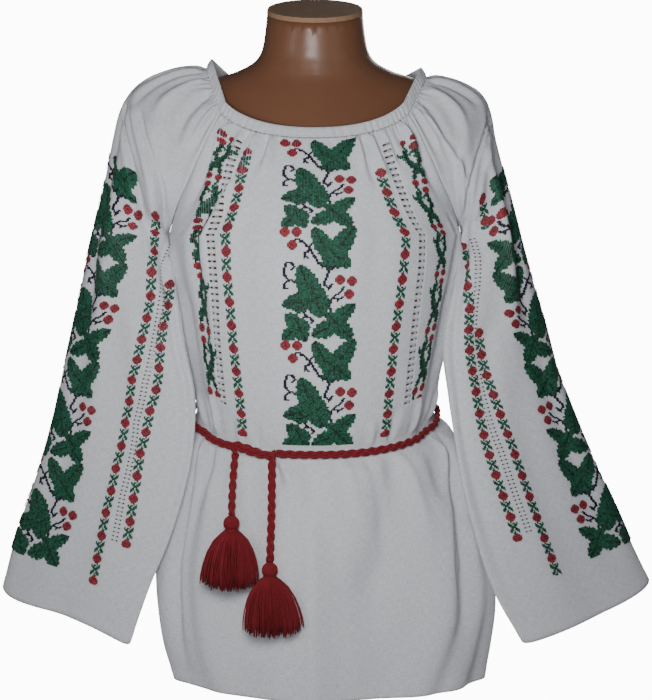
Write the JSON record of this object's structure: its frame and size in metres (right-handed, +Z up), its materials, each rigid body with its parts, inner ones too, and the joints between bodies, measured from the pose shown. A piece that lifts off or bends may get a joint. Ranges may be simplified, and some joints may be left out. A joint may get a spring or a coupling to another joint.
{
  "type": "vyshyvanka shirt on a limbless dress form",
  "caption": "White folk shirt with wide raglan sleeves gathered into a neck band, cross-stitched in vine leaves and berries, belted with a tasselled cord, on a headless dress form.",
  "frame": {"origin": "centre of the underside of the stand's round foot", "axes": "+Z up along the stand's pole, -Y out of the front of the shirt, +X to the right as seen from the front"},
  "size_m": [0.724, 0.2826, 0.891],
  "materials": {
    "linen": "white plain-woven cotton and linen cloth, matt, embroidered in green, red and navy",
    "red_cord": "twisted dark red cotton cord and thread, matt with a slight sheen",
    "tan_plastic": "moulded tan-brown plastic, glossy",
    "cap_plastic": "flat tan-brown end cap, dull",
    "stand_metal": "plain satin steel"
  },
  "bodies": {
    "root": {"front": "linen", "back": "linen", "sleeve_left": "linen", "sleeve_right": "linen", "neck_band": "linen", "belt_loop": "red_cord", "belt_knot": "red_cord", "belt_tail_left": "red_cord", "belt_tail_right": "red_cord", "tassel_left": "red_cord", "tassel_right": "red_cord", "form_torso": "tan_plastic", "form_cap": "cap_plastic", "stand_pole": "stand_metal", "stand_base": "stand_metal"}
  },
  "joints": []
}
